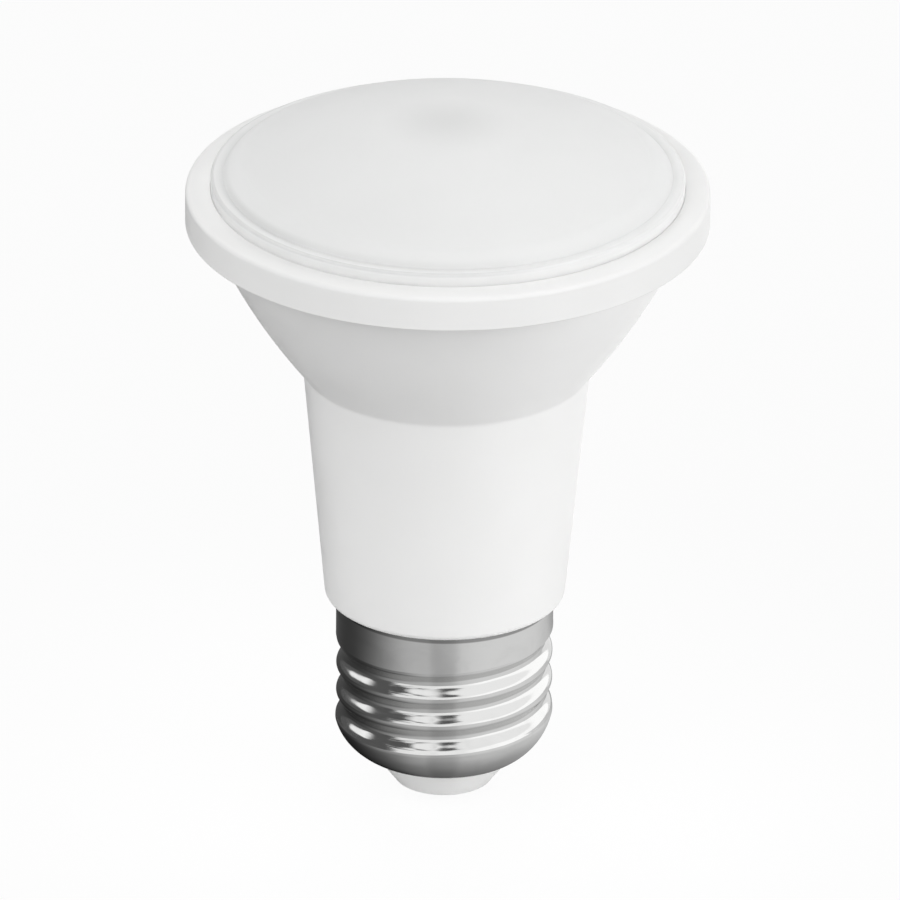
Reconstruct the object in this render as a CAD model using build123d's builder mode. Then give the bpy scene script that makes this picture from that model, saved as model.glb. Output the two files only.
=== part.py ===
from build123d import *
from math import atan, cos, hypot, pi, radians, sin, sqrt
import os

# LED reflector lamp on a medium screw cap, standing cap down with its lens up.
# Millimetres. The origin is the tip of the centre contact, and +Z is the lamp's axis.

# Screw cap: rolled sheet-metal shell with a medium Edison thread
thread_major_radius = 13.15
thread_depth = 0.84
thread_pitch = 3.629
groove_count = 3
end_land = 1.37
top_land = 0.8
front_angle = 270.0
shell_wall = 0.3
collar_swell = 0.05
collar_height = 4.12
runout_height = 0.9
runout_angle = 45.0
shell_end_height = 3.7
shell_end_bow = 0.45
shell_mouth_radius = 9.15

# Insulator and centre contact of the cap
nose_height = 3.9
nose_tip_radius = 5.8
nose_tip_chamfer = 0.4
nose_clearance = 0.1
flange_reach = 0.5
flange_thickness = 1.2
flange_clearance = 0.05
contact_proud = 1.0
contact_radius = 3.4
contact_edge_chamfer = 0.4
shank_radius = 1.5
shank_clearance = 0.05

# Housing: cone and neck in one moulding, with a spigot for the cap and one for the rim
neck_step = 1.4
neck_height = 30.2
neck_flare = 2.85
neck_fillet = 0.9
neck_wall = 1.7
crease_fillet = 1.2
cone_height = 19.2
cone_flare = 11.65
cone_bow = 0.79
cone_wall = 2.0
cap_fit_clearance = 0.1
cap_spigot_depth = 6.6
cap_spigot_wall = 1.5
ledge_thickness = 1.6
rim_spigot_height = 2.0
rim_spigot_wall = 1.5

# Rim ring and lens
rim_overhang = 2.7
rim_height = 4.3
rim_crown = 0.2
rim_top_fillet = 0.7
rim_edge_chamfer = 0.2
rim_land = 2.9
rim_fit_clearance = 0.1
lens_fit_clearance = 0.15
lens_wall = 1.5
lens_proud = 1.6
lens_flange_width = 1.5
lens_edge_chamfer = 0.25
shoulder_width = 2.6
shoulder_height = 1.75
shoulder_bow = 0.25
dome_height = 5.4

# Heat sink cup and light board
sink_rise = 8.5
sink_floor = 2.0
sink_wall = 1.6
sink_clearance = 0.1
sink_lip_drop = 0.6
board_thickness = 1.2
board_edge_clearance = 0.3

# Light-emitting diodes
led_count = 12
led_edge_margin = 6.0
led_length = 3.5
led_width = 2.8
led_height = 0.7
led_window_margin = 0.45
led_window_depth = 0.12

# Driver board and the guide ribs that hold it
driver_offset = 2.0
driver_thickness = 1.2
driver_top_gap = 2.0
driver_side_clearance = 0.5
tongue_half_width = 7.0
tongue_reach = 3.0
rib_reach = 1.6
rib_width = 1.4
rib_clearance = 0.1
rib_top_drop = 6.0

# Driver components
input_can_radius = 3.15
input_can_length = 10.0
output_can_radius = 2.5
output_can_length = 9.0
can_sleeve_chamfer = 0.5
can_vent_depth = 0.25
can_vent_width = 0.4
can_margin = 1.6
core_width = 9.0
core_height = 9.0
core_depth = 8.0
core_leg = 2.2
core_yoke = 1.9
core_foot = 1.8
winding_clearance = 0.05
winding_fillet = 0.6
choke_radius = 2.6
choke_length = 7.0
top_row_drop = 3.6
top_row_offset = 5.0
rectifier_length = 6.2
rectifier_width = 4.4
rectifier_height = 2.4
chip_length = 4.9
chip_width = 3.9
chip_height = 1.6
diode_length = 4.2
diode_width = 2.6
diode_height = 2.2
package_chamfer = 0.3
resistor_radius = 1.3
resistor_length = 6.2
part_standoff = 0.05

# Leads
lead_radius = 0.5
lead_overlap = 4.0
lead_edge_gap = 0.9
led_lead_spread = 3.0
led_lead_radius = 0.4
led_lead_proud = 0.8
lead_hole_clearance = 0.3

# Tolerance for picking an edge by its height
edge_tolerance = 0.01

# Heights of the seats, from the contact tip upwards
nose_z = contact_proud
mouth_z = nose_z + nose_height
thread_low_z = mouth_z + shell_end_height
end_edge_z = thread_low_z + end_land
collar_edge_z = end_edge_z + groove_count * thread_pitch
thread_top_z = collar_edge_z + top_land
neck_z = thread_top_z + collar_height
ledge_z = neck_z + ledge_thickness
crease_z = neck_z + neck_height
rim_z = crease_z + cone_height
seat_z = rim_z + rim_spigot_height
rim_top_z = rim_z + rim_height
flange_z = rim_top_z + rim_crown + lens_proud
shoulder_z = flange_z + shoulder_height
dome_z = shoulder_z + dome_height
spigot_end_z = thread_top_z - cap_spigot_depth
sink_z = crease_z + sink_rise
light_board_z = sink_z + sink_floor
led_z = light_board_z + board_thickness

# Radii that follow from the fits
thread_mid_radius = thread_major_radius - thread_depth / 2
thread_root_radius = thread_major_radius - thread_depth
collar_radius = thread_major_radius + collar_swell
collar_bore_radius = collar_radius - shell_wall
root_bore_radius = thread_root_radius - shell_wall
mouth_bore_radius = shell_mouth_radius - shell_wall
nose_root_radius = mouth_bore_radius - nose_clearance
spigot_collar_radius = collar_bore_radius - cap_fit_clearance
spigot_radius = root_bore_radius - cap_fit_clearance
spigot_bore_radius = spigot_radius - cap_spigot_wall
neck_radius = thread_major_radius + neck_step
crease_radius = neck_radius + neck_flare
cone_radius = crease_radius + cone_flare
rim_radius = cone_radius + rim_overhang
lens_seat_radius = rim_radius - rim_land
lens_radius = lens_seat_radius - lens_fit_clearance
rim_spigot_radius = lens_radius - lens_wall / 2
rim_spigot_bore_radius = rim_spigot_radius - rim_spigot_wall
dome_foot_radius = lens_radius - lens_flange_width
shoulder_radius = dome_foot_radius - shoulder_width


def arc_radius(start, end, sagitta, z):
    """Radius at height z on the outward-bowed arc between two (radius, height) points."""
    chord = hypot(end[0] - start[0], end[1] - start[1])
    arc = (chord * chord / 4 + sagitta * sagitta) / (2 * sagitta)
    side = ((end[1] - start[1]) / chord, (start[0] - end[0]) / chord)
    centre_r = (start[0] + end[0]) / 2 - side[0] * (arc - sagitta)
    centre_z = (start[1] + end[1]) / 2 - side[1] * (arc - sagitta)
    return centre_r + sqrt(arc * arc - (z - centre_z) ** 2)


def at_height(edge, z):
    """Whether a level edge lies at height z."""
    box = edge.bounding_box()
    return box.max.Z - box.min.Z < edge_tolerance and abs(box.max.Z - z) < edge_tolerance


def save(piece, name):
    piece.label = name
    export_step(piece, f"parts/{name}.step")


os.makedirs("parts", exist_ok=True)


# Screw shell: a round section carried, unturned, along a small helix is a rolled thread.
# The collar and the rounded end close on it along planes at its lead angle, which follow
# its crest on the front and run its groove out at the back.
lead = atan(thread_pitch / (2 * pi * thread_mid_radius))
lead_normal = (-sin(lead), 0, cos(lead))
thread_start_angle = front_angle - 360 * end_land / thread_pitch
thread_plane = Plane.XY.offset(thread_low_z)
with BuildPart() as rolled_thread:
    with BuildLine(thread_plane) as thread_centre:
        Helix(thread_pitch, thread_top_z - thread_low_z, thread_depth / 2)
    with BuildSketch(thread_plane):
        with Locations((thread_depth / 2, 0)):
            Circle(thread_mid_radius)
    sweep(path=thread_centre.line, normal=(0, 0, 1))
runout_radius = collar_radius - runout_height
shell_height = neck_z - mouth_z
collar_plane = Plane(origin=(0, 0, collar_edge_z), z_dir=lead_normal)
end_plane = Plane(origin=(0, 0, end_edge_z), z_dir=lead_normal)
with BuildPart() as shell_collar:
    with BuildSketch(collar_plane.offset(-runout_height)):
        Circle(runout_radius)
    extrude(amount=shell_height, taper=-runout_angle)
    with BuildSketch(Plane.XY.offset(neck_z)):
        Circle(collar_radius)
    extrude(amount=-shell_height, mode=Mode.INTERSECT)
mouth_corner = (mouth_bore_radius, mouth_z + shell_wall)
with BuildPart() as shell_end:
    with BuildSketch(Plane.XZ):
        with BuildLine():
            SagittaArc((shell_mouth_radius, mouth_z), (collar_radius, thread_low_z), -shell_end_bow)
            Polyline(
                (collar_radius, thread_low_z),
                (collar_radius, thread_top_z),
                (0, thread_top_z),
                (0, mouth_z),
                (shell_mouth_radius, mouth_z),
            )
        make_face()
    revolve(axis=Axis.Z)
    with BuildSketch(end_plane.offset(runout_height)):
        Circle(runout_radius)
    extrude(amount=-shell_height, taper=-runout_angle, mode=Mode.INTERSECT)
with BuildPart() as screw_shell:
    add(rolled_thread.part, rotation=(0, 0, thread_start_angle))
    add(shell_collar.part)
    add(shell_end.part)
    with BuildSketch(Plane.XZ):
        with BuildLine():
            Polyline(
                (collar_bore_radius, thread_low_z),
                (root_bore_radius, thread_low_z + runout_height),
                (root_bore_radius, thread_top_z - runout_height),
                (collar_bore_radius, thread_top_z),
                (collar_bore_radius, neck_z),
                (0, neck_z),
                (0, mouth_z),
                (mouth_bore_radius, mouth_z),
                mouth_corner,
                close=True,
            )
        make_face()
    revolve(axis=Axis.Z, mode=Mode.SUBTRACT)
save(screw_shell.part, "screw_shell")

# Cap insulator: a nose through the shell's mouth, with a flange that seats on the rolled-in end
seat_run = collar_bore_radius - mouth_bore_radius
seat_rise = thread_low_z - mouth_z - shell_wall
seat_length = hypot(seat_run, seat_rise)
flange_shift_r = -flange_clearance * seat_rise / seat_length
flange_shift_z = flange_clearance * seat_run / seat_length
flange_foot = (mouth_corner[0] + flange_shift_r, mouth_corner[1] + flange_shift_z)
flange_edge = (flange_foot[0] + flange_reach * seat_run, flange_foot[1] + flange_reach * seat_rise)
flange_top_z = flange_edge[1] + flange_thickness
shank_bore_radius = shank_radius + shank_clearance
with BuildPart() as cap_insulator:
    with BuildSketch(Plane.XZ):
        with BuildLine():
            Polyline(
                (shank_bore_radius, nose_z),
                (nose_tip_radius, nose_z),
                (nose_root_radius, mouth_z),
                flange_foot,
                flange_edge,
                (flange_edge[0], flange_top_z),
                (shank_bore_radius, flange_top_z),
                close=True,
            )
        make_face()
    revolve(axis=Axis.Z)
    chamfer(cap_insulator.edges().group_by(Axis.Z)[0].sort_by(SortBy.RADIUS)[-1], nose_tip_chamfer)
save(cap_insulator.part, "cap_insulator")

# Centre contact: a flat-headed pin pressed into the insulator
with BuildPart() as centre_contact:
    with BuildSketch(Plane.XY):
        Circle(contact_radius)
    extrude(amount=contact_proud)
    chamfer(centre_contact.edges().group_by(Axis.Z)[0], contact_edge_chamfer)
    with BuildSketch(Plane.XY.offset(contact_proud)):
        Circle(shank_radius)
    extrude(amount=flange_top_z - contact_proud)
save(centre_contact.part, "centre_contact")

# Housing: outside form less a cavity that leaves the guide ribs of the driver board standing
cone_foot = (crease_radius, crease_z)
cone_head = (cone_radius, rim_z)
bore_foot = (crease_radius - cone_wall, crease_z)
bore_head = (cone_radius - cone_wall, rim_z)
neck_bore_radius = neck_radius - neck_wall
slot_width = driver_thickness + 2 * rib_clearance
slot_back_y = driver_offset + slot_width / 2
driver_half_width = sqrt(neck_bore_radius**2 - slot_back_y**2) - driver_side_clearance
rib_top_z = crease_z - rib_top_drop
with BuildPart() as housing_cavity:
    with BuildSketch(Plane.XZ):
        with BuildLine():
            Polyline(
                bore_foot,
                (neck_bore_radius, ledge_z),
                (spigot_bore_radius, ledge_z),
                (spigot_bore_radius, spigot_end_z),
                (0, spigot_end_z),
                (0, seat_z),
                (rim_spigot_bore_radius, seat_z),
                (rim_spigot_bore_radius, rim_z),
                bore_head,
            )
            SagittaArc(bore_foot, bore_head, -cone_bow)
        make_face()
    revolve(axis=Axis.Z)
    with BuildSketch(Plane.XY.offset(ledge_z)):
        for side in (-1, 1):
            for face in (-1, 1):
                rib_y = driver_offset + face * (slot_width + rib_width) / 2
                with Locations((side * driver_half_width, rib_y)):
                    Rectangle(2 * rib_reach, rib_width)
                with Locations((side * (driver_half_width + rib_reach + neck_wall), rib_y)):
                    Rectangle(2 * neck_wall, rib_width)
    extrude(amount=rib_top_z - ledge_z, mode=Mode.SUBTRACT)
with BuildPart() as housing:
    with BuildSketch(Plane.XZ):
        with BuildLine():
            Polyline(
                cone_foot,
                (neck_radius, neck_z),
                (spigot_collar_radius, neck_z),
                (spigot_collar_radius, thread_top_z),
                (spigot_radius, thread_top_z),
                (spigot_radius, spigot_end_z),
                (0, spigot_end_z),
                (0, seat_z),
                (rim_spigot_radius, seat_z),
                (rim_spigot_radius, rim_z),
                cone_head,
            )
            SagittaArc(cone_foot, cone_head, -cone_bow)
        make_face()
    revolve(axis=Axis.Z)
    fillet([edge for edge in housing.edges() if at_height(edge, crease_z)], crease_fillet)
    neck_edges = ShapeList(edge for edge in housing.edges() if at_height(edge, neck_z))
    fillet(neck_edges.sort_by(SortBy.RADIUS)[-1], neck_fillet)
    add(housing_cavity.part, mode=Mode.SUBTRACT)
save(housing.part, "housing")

# Rim ring: a plain band with a seat for the lens, pushed over the housing's rim spigot
rim_bore_radius = rim_spigot_radius + rim_fit_clearance
with BuildPart() as bezel_ring:
    with BuildSketch(Plane.XZ):
        with BuildLine():
            Polyline(
                (rim_bore_radius, rim_z),
                (rim_radius, rim_z),
                (rim_radius, rim_top_z),
                (lens_seat_radius, rim_top_z + rim_crown),
                (lens_seat_radius, seat_z),
                (rim_bore_radius, seat_z),
                close=True,
            )
        rim_face = make_face()
        fillet(rim_face.vertices().group_by(Axis.X)[-1].sort_by(Axis.Y)[-1], rim_top_fillet)
    revolve(axis=Axis.Z)
    chamfer(bezel_ring.edges().group_by(Axis.Z)[0].sort_by(SortBy.RADIUS)[-1], rim_edge_chamfer)
save(bezel_ring.part, "bezel_ring")

# Lens: a skirt on the rim seat, a flat flange, a rounded shoulder and a shallow dome
dome_radius = (shoulder_radius**2 + dome_height**2) / (2 * dome_height)
dome_corner = (shoulder_radius - lens_wall / 2, shoulder_z - lens_wall)
with BuildPart() as lens:
    with BuildSketch(Plane.XZ):
        with BuildLine():
            SagittaArc((dome_foot_radius, flange_z), (shoulder_radius, shoulder_z), -shoulder_bow)
            RadiusArc((shoulder_radius, shoulder_z), (0, dome_z), -dome_radius)
            Line((0, dome_z), (0, dome_z - lens_wall))
            RadiusArc((0, dome_z - lens_wall), dome_corner, dome_radius)
            Polyline(
                dome_corner,
                (lens_radius - lens_wall, flange_z - lens_wall),
                (lens_radius - lens_wall, seat_z),
                (lens_radius, seat_z),
                (lens_radius, flange_z),
                (dome_foot_radius, flange_z),
            )
        make_face()
    revolve(axis=Axis.Z)
    flange_edges = [edge for edge in lens.edges().filter_by(GeomType.CIRCLE) if at_height(edge, flange_z)]
    chamfer(ShapeList(flange_edges).sort_by(SortBy.RADIUS)[-1], lens_edge_chamfer)
save(lens.part, "lens")

# Heat sink: a spun cup wedged in the cone, with one slot for the leads of the light board
sink_lip_z = rim_z - sink_lip_drop
sink_foot_radius = arc_radius(bore_foot, bore_head, cone_bow, sink_z) - sink_clearance
sink_lip_radius = arc_radius(bore_foot, bore_head, cone_bow, sink_lip_z) - sink_clearance
sink_slope = (sink_lip_radius - sink_foot_radius) / (sink_lip_z - sink_z)
floor_radius = sink_foot_radius + sink_slope * sink_floor - sink_wall
front_y = driver_offset - driver_thickness / 2
led_lead_y = front_y - part_standoff - led_lead_radius
lead_hole_radius = led_lead_radius + lead_hole_clearance
with BuildPart() as heat_sink:
    with BuildSketch(Plane.XZ):
        with BuildLine():
            Polyline(
                (0, sink_z),
                (sink_foot_radius, sink_z),
                (sink_lip_radius, sink_lip_z),
                (sink_lip_radius - sink_wall, sink_lip_z),
                (floor_radius, light_board_z),
                (0, light_board_z),
                close=True,
            )
        make_face()
    revolve(axis=Axis.Z)
    with BuildSketch(Plane.XY.offset(sink_z)):
        with Locations((0, led_lead_y)):
            SlotCenterToCenter(led_lead_spread, 2 * lead_hole_radius)
    extrude(amount=sink_floor, mode=Mode.SUBTRACT)
save(heat_sink.part, "heat_sink")

# Light board: a round plate bonded to the cup's floor
board_radius = floor_radius - board_edge_clearance
with BuildPart() as led_board:
    with BuildSketch(Plane.XY.offset(light_board_z)):
        Circle(board_radius)
        with Locations((0, led_lead_y)):
            SlotCenterToCenter(led_lead_spread, 2 * lead_hole_radius, mode=Mode.SUBTRACT)
    extrude(amount=board_thickness)
save(led_board.part, "led_board")

# Light-emitting diodes: a ring of flat packages with a sunk window
led_ring_radius = board_radius - led_edge_margin
for number in range(led_count):
    turn = radians(360 * (number + 0.5) / led_count)
    led_plane = Plane(
        origin=(led_ring_radius * cos(turn), led_ring_radius * sin(turn), led_z),
        x_dir=(-sin(turn), cos(turn), 0),
        z_dir=(0, 0, 1),
    )
    with BuildPart() as led:
        with BuildSketch(led_plane):
            Rectangle(led_length, led_width)
        extrude(amount=led_height)
        with BuildSketch(led_plane.offset(led_height)):
            Rectangle(led_length - 2 * led_window_margin, led_width - 2 * led_window_margin)
        extrude(amount=-led_window_depth, mode=Mode.SUBTRACT)
    save(led.part, f"led_{number + 1:02d}")

# Driver board: stands on the ledge between the guide ribs, with a tongue down into the cap
driver_top_z = crease_z + driver_top_gap
tongue_z = spigot_end_z - tongue_reach
back_y = driver_offset + driver_thickness / 2
with BuildPart() as driver_board:
    with BuildSketch(Plane.XZ.offset(-back_y)):
        with BuildLine():
            Polyline(
                (-tongue_half_width, tongue_z),
                (tongue_half_width, tongue_z),
                (tongue_half_width, ledge_z),
                (driver_half_width, ledge_z),
                (driver_half_width, driver_top_z),
                (-driver_half_width, driver_top_z),
                (-driver_half_width, ledge_z),
                (-tongue_half_width, ledge_z),
                close=True,
            )
        make_face()
    extrude(amount=driver_thickness)
save(driver_board.part, "driver_board")


def board_plane(x, z, front=True):
    """Plane on one face of the driver board, facing away from it, with its y axis upwards."""
    if front:
        return Plane(origin=(x, front_y, z), x_dir=(1, 0, 0), z_dir=(0, -1, 0))
    return Plane(origin=(x, back_y, z), x_dir=(-1, 0, 0), z_dir=(0, 1, 0))


def capacitor_can(plane, radius, length):
    """Electrolytic can with a rounded sleeve end and a crossed vent."""
    with BuildPart() as can:
        with BuildSketch(plane):
            Circle(radius)
        extrude(amount=length)
        chamfer(can.faces().sort_by(Axis.Y)[0].edges(), can_sleeve_chamfer)
        with BuildSketch(plane.offset(length)):
            Rectangle(radius, can_vent_width)
            Rectangle(can_vent_width, radius)
        extrude(amount=-can_vent_depth, mode=Mode.SUBTRACT)
    return can.part


def package(plane, length, width, height):
    """Moulded component body with a chamfered top edge."""
    with BuildPart() as body:
        with BuildSketch(plane):
            Rectangle(length, width)
        extrude(amount=height)
        chamfer(body.faces().sort_by(Axis.Y)[-1].edges(), package_chamfer)
    return body.part


# Electrolytic capacitors
input_z = ledge_z + can_margin + input_can_radius
top_row_z = driver_top_z - top_row_drop
input_capacitor = capacitor_can(board_plane(0, input_z), input_can_radius, input_can_length)
save(input_capacitor, "input_capacitor")
output_plane = board_plane(top_row_offset, top_row_z)
output_capacitor = capacitor_can(output_plane, output_can_radius, output_can_length)
save(output_capacitor, "output_capacitor")

# Line choke: a drum in a sleeve
with BuildPart() as line_choke:
    with BuildSketch(board_plane(-top_row_offset, top_row_z)):
        Circle(choke_radius)
    extrude(amount=choke_length)
save(line_choke.part, "line_choke")

# Transformer: a foot frame, a ferrite core with two windows, and a winding on its middle leg
core_z = top_row_z - choke_radius - can_margin - core_height / 2
core_window = (core_height - core_leg - 2 * core_yoke) / 2
window_width = core_width - 2 * core_yoke
winding_build = core_window - winding_clearance
core_plane = board_plane(0, core_z)
with BuildPart() as transformer_foot:
    with BuildSketch(core_plane):
        Rectangle(core_width, core_height)
        Rectangle(window_width, core_height - 2 * core_yoke, mode=Mode.SUBTRACT)
    extrude(amount=core_foot)
save(transformer_foot.part, "transformer_foot")
with BuildPart() as transformer_core:
    with BuildSketch(core_plane.offset(core_foot)):
        Rectangle(core_width, core_height)
        for side in (-1, 1):
            with Locations((0, side * (core_leg + core_window) / 2)):
                Rectangle(window_width, core_window, mode=Mode.SUBTRACT)
    extrude(amount=core_depth)
save(transformer_core.part, "transformer_core")
winding_y = front_y - core_foot - core_depth / 2
winding_width = window_width - 2 * winding_clearance
winding_end = (-winding_width / 2, winding_y, core_z)
with BuildPart() as transformer_winding:
    with BuildSketch(Plane(origin=winding_end, x_dir=(0, 1, 0), z_dir=(1, 0, 0))):
        RectangleRounded(core_depth + 2 * winding_build, core_leg + 2 * winding_build, winding_fillet)
        Rectangle(core_depth + 2 * winding_clearance, core_leg + 2 * winding_clearance, mode=Mode.SUBTRACT)
    extrude(amount=winding_width)
save(transformer_winding.part, "transformer_winding")

# Semiconductors on the back of the board
bridge_rectifier = package(
    board_plane(0, input_z, front=False), rectifier_length, rectifier_width, rectifier_height
)
save(bridge_rectifier, "bridge_rectifier")
driver_chip = package(board_plane(0, core_z, front=False), chip_length, chip_width, chip_height)
save(driver_chip, "driver_chip")
output_diode = package(board_plane(0, top_row_z, front=False), diode_length, diode_width, diode_height)
save(output_diode, "output_diode")

# Fusible resistor: a sleeved body across the back of the tongue
resistor_y = back_y + part_standoff + resistor_radius
resistor_z = (spigot_end_z + ledge_z) / 2
resistor_end = (-resistor_length / 2, resistor_y, resistor_z)
with BuildPart() as fuse_resistor:
    with BuildSketch(Plane(origin=resistor_end, x_dir=(0, 1, 0), z_dir=(1, 0, 0))):
        Circle(resistor_radius)
    extrude(amount=resistor_length)
save(fuse_resistor.part, "fuse_resistor")

# Cap leads: stiff wires from the tongue down to the contact pin, and across to the wall of the shell
cap_lead_y = front_y - part_standoff - lead_radius
with BuildPart() as live_lead:
    with BuildSketch(Plane.XY.offset(flange_top_z)):
        with Locations((0, cap_lead_y)):
            Circle(lead_radius)
    extrude(amount=tongue_z + lead_overlap - flange_top_z)
save(live_lead.part, "live_lead")
neutral_x = tongue_half_width - lead_overlap
shell_touch_x = sqrt(root_bore_radius**2 - (cap_lead_y + lead_radius) ** 2) - part_standoff
with BuildPart() as neutral_lead:
    with BuildSketch(Plane.YZ.offset(neutral_x)):
        with Locations((cap_lead_y, tongue_z + lead_edge_gap)):
            Circle(lead_radius)
    extrude(amount=shell_touch_x - neutral_x)
save(neutral_lead.part, "neutral_lead")

# Light-board leads: stiff pins up the front of the driver board and through the light board
for side, pole in ((-1, "negative"), (1, "positive")):
    with BuildPart() as led_lead:
        with BuildSketch(Plane.XY.offset(driver_top_z - lead_overlap)):
            with Locations((side * led_lead_spread / 2, led_lead_y)):
                Circle(led_lead_radius)
        extrude(amount=led_z + led_lead_proud - driver_top_z + lead_overlap)
    save(led_lead.part, f"led_lead_{pole}")
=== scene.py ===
from math import atan2, cos, hypot, pi, radians, sin, tan

import bmesh
import bpy
from mathutils import Matrix, Quaternion, Vector


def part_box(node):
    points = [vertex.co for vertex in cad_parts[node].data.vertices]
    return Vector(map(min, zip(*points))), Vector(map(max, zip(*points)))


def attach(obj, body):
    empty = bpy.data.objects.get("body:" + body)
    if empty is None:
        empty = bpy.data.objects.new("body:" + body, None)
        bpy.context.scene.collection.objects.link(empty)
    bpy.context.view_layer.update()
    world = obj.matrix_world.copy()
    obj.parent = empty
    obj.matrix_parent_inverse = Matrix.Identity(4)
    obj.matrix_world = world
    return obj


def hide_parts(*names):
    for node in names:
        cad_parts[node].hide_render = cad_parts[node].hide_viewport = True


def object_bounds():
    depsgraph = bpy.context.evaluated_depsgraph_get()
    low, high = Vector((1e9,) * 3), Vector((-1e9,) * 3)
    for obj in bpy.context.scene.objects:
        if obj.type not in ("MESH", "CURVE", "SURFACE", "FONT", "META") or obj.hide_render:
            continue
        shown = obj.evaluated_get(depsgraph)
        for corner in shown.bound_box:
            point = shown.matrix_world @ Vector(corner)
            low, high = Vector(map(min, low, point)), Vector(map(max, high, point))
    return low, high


bl_info = {
    "name": "Reflector Lamp",
    "version": (1, 0, 0),
    "blender": (4, 5, 0),
    "location": "3D View > Sidebar > Lamp",
    "description": "Dresses the packed reflector lamp: lens, rim ring, housing, screw cap and insides",
    "category": "Object",
}

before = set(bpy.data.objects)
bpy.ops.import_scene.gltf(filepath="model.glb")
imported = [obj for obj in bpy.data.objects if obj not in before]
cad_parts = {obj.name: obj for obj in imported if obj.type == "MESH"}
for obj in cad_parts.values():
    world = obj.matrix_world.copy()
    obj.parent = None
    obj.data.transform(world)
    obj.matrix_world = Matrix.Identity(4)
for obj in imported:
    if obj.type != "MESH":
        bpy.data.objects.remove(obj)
CAD_LOW, CAD_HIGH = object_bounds()

MM = 0.001
# Length under which two points count as one
TINY = 0.000001
# Azimuth of the side that lights the metal; 0 degrees is the front, 90 the right and -90 the left
BRIGHT_SIDE = 65.0

SHELL_LOW, SHELL_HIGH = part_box("screw_shell")
HOUSING_LOW, HOUSING_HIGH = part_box("housing")
RIM_LOW, RIM_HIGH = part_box("bezel_ring")
LENS_LOW, LENS_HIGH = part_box("lens")
NOSE_LOW, NOSE_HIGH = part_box("cap_insulator")
CONTACT_LOW, CONTACT_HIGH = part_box("centre_contact")
DRIVER_LOW, DRIVER_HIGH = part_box("driver_board")
BOARD_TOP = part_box("led_board")[1].z
DIODE_RING = sum(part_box("led_01"), Vector()).xy.length / 2


# Kinds of property


def length(name, description, default):
    """Length in metres."""
    return bpy.props.FloatProperty(
        name=name, description=description, default=default, precision=5, subtype="DISTANCE", unit="LENGTH"
    )


def camera_length(name, description, default):
    """Length in millimetres, as on a camera."""
    return bpy.props.FloatProperty(
        name=name, description=description, default=default, subtype="DISTANCE_CAMERA", unit="CAMERA"
    )


def angle(name, description, degrees):
    """Angle, given in degrees."""
    return bpy.props.FloatProperty(
        name=name, description=description, default=radians(degrees), subtype="ANGLE", unit="ROTATION"
    )


def power(name, description, default):
    """Power in watts."""
    return bpy.props.FloatProperty(
        name=name, description=description, default=default, min=0.0, subtype="POWER", unit="POWER"
    )


def number(name, description, default):
    """Whole number from 1."""
    return bpy.props.IntProperty(name=name, description=description, default=default, min=1)


def colour(name, description, default):
    """Colour in linear values."""
    return bpy.props.FloatVectorProperty(
        name=name, description=description, default=default, size=3, min=0.0, max=1.0, subtype="COLOR"
    )


class CapSizes(bpy.types.PropertyGroup):
    """Screw cap: shell, insulator and contact."""

    major_radius: length("Thread radius", "Radius over the crests of the thread", 13.15 * MM)
    thread_depth: length("Thread depth", "Height of a crest over a valley", 0.84 * MM)
    pitch: length("Pitch", "Rise of the thread in one turn", 3.629 * MM)
    thread_low: length("Thread foot", "Height of the thread's foot over the contact's tip", 8.6 * MM)
    end_land: length("End land", "Height of the lowest front crest over the thread's foot", 1.37 * MM)
    top_land: length("Top land", "Reach of the thread's bore over the collar's edge", 0.8 * MM)
    grooves: number("Grooves", "Turns of the thread's groove", 3)
    blend: length("Blend", "Rounding where the thread runs into the collar and the end", 0.25 * MM)
    mouth_radius: length("Mouth radius", "Radius of the rolled-in lower end", 9.15 * MM)
    end_lip: length("End lip", "Plain stretch between the lowest crest and the rounded end", 0.35 * MM)
    end_bow: length("End bow", "Bulge of the rolled-in lower end", 0.75 * MM)
    wall: length("Sheet", "Thickness of the sheet metal", 0.3 * MM)
    columns: number("Columns", "Points round the shell, the first and the last in one place", 161)
    rows: number("Rows", "Points along the shell", 225)
    nose_radius: length("Nose radius", "Radius of the insulator's tip", 5.8 * MM)
    nose_round: length("Nose rounding", "Rounding of the insulator's tip", 0.5 * MM)
    nose_gap: length("Nose gap", "Clearance between the insulator and the shell's mouth", 0.1 * MM)
    flange_gap: length("Flange gap", "Clearance between the insulator's flange and the sheet", 0.04 * MM)
    flange_height: length("Flange height", "Height of the flange's upright edge", 1.2 * MM)
    contact_round: length("Contact rounding", "Rounding of the contact's edge", 0.4 * MM)
    shank_radius: length("Shank radius", "Radius of the contact's shank", 1.5 * MM)
    shank_gap: length("Shank gap", "Clearance round the contact's shank", 0.05 * MM)


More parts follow.
